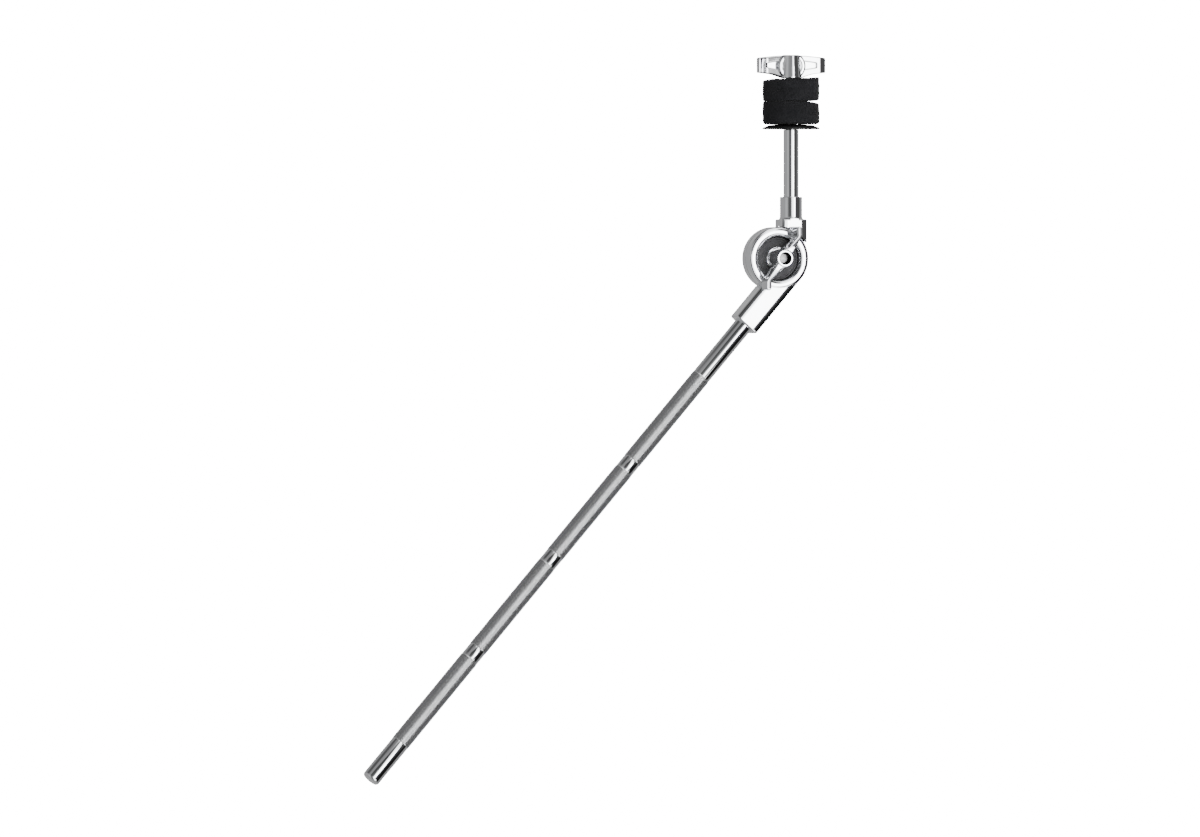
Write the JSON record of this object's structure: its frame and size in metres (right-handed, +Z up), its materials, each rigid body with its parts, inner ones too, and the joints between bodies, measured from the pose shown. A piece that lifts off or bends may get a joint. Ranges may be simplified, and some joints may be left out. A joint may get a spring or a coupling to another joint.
{
  "type": "cymbal boom arm",
  "caption": "Straight knurled boom rod with a round brake tilter, a threaded post, a cup washer, two felts and wing nuts, for hanging a cymbal from a stand's clamp.",
  "frame": {"origin": "centre of the boom rod's flat lower end", "axes": "+Z up, along the cymbal post as pictured; the boom rod rises from the origin towards +X and +Z; the tilter's axis is parallel to Y, with its wing nut on the -Y side"},
  "size_m": [0.3276, 0.041, 0.4934],
  "materials": {
    "chrome": "bright chrome plate on die-cast zinc and on steel",
    "knurled_steel": "chrome plate over a fine diamond knurl",
    "plated_steel": "bright zinc plate",
    "dark_nylon": "moulded nylon, satin",
    "pale_nylon": "moulded nylon, natural",
    "black_nylon": "moulded nylon, slightly glossy",
    "black_felt": "pressed wool felt",
    "brake_lining": "bonded friction fibre"
  },
  "bodies": {
    "lower_arm": {"boom_rod": "knurled_steel", "lower_tilter_casting": "chrome", "rod_pin": "plated_steel", "brake_lining": "brake_lining", "release_spring": "plated_steel", "bolt_bush": "pale_nylon", "thrust_disc": "dark_nylon"},
    "upper_arm": {"upper_tilter_casting": "chrome", "brake_plate": "plated_steel", "hinge_bolt": "plated_steel", "post": "chrome", "post_pin": "plated_steel", "seat_washer": "black_nylon", "cymbal_sleeve": "black_nylon", "lower_felt": "black_felt"},
    "tilter_washer": {"tilter_washer": "chrome"},
    "tilter_nut": {"tilter_wing_nut": "chrome"},
    "upper_felt": {"upper_felt": "black_felt"},
    "top_nut": {"top_wing_nut": "chrome"}
  },
  "joints": [
    {"name": "tilt", "type": "hinge", "parent": "lower_arm", "child": "upper_arm", "pos_m": [0.28901, 0, 0.35228], "axis": [0, -1, 0], "range_deg": [-80, 130]},
    {"name": "tilter_washer_travel", "type": "slide", "parent": "upper_arm", "child": "tilter_washer", "axis": [0, -1, 0], "range_m": [0, 0.00374]},
    {"name": "tilter_nut_turn", "type": "hinge", "parent": "tilter_washer", "child": "tilter_nut", "pos_m": [0.28901, 0, 0.35228], "axis": [0, -1, 0], "range_deg": [0, 1080]},
    {"name": "upper_felt_travel", "type": "slide", "parent": "upper_arm", "child": "upper_felt", "axis": [0, 0, 1], "range_m": [0, 0.01249]},
    {"name": "top_nut_turn", "type": "hinge", "parent": "upper_felt", "child": "top_nut", "pos_m": [0.30021, 0, 0.47428], "axis": [0, 0, 1], "range_deg": [0, 3600]}
  ],
  "couplings": [
    {"joint": "tilter_nut_turn", "follows": "tilter_washer_travel", "rad_per_m": 5026.5},
    {"joint": "top_nut_turn", "follows": "upper_felt_travel", "rad_per_m": 5026.5}
  ]
}
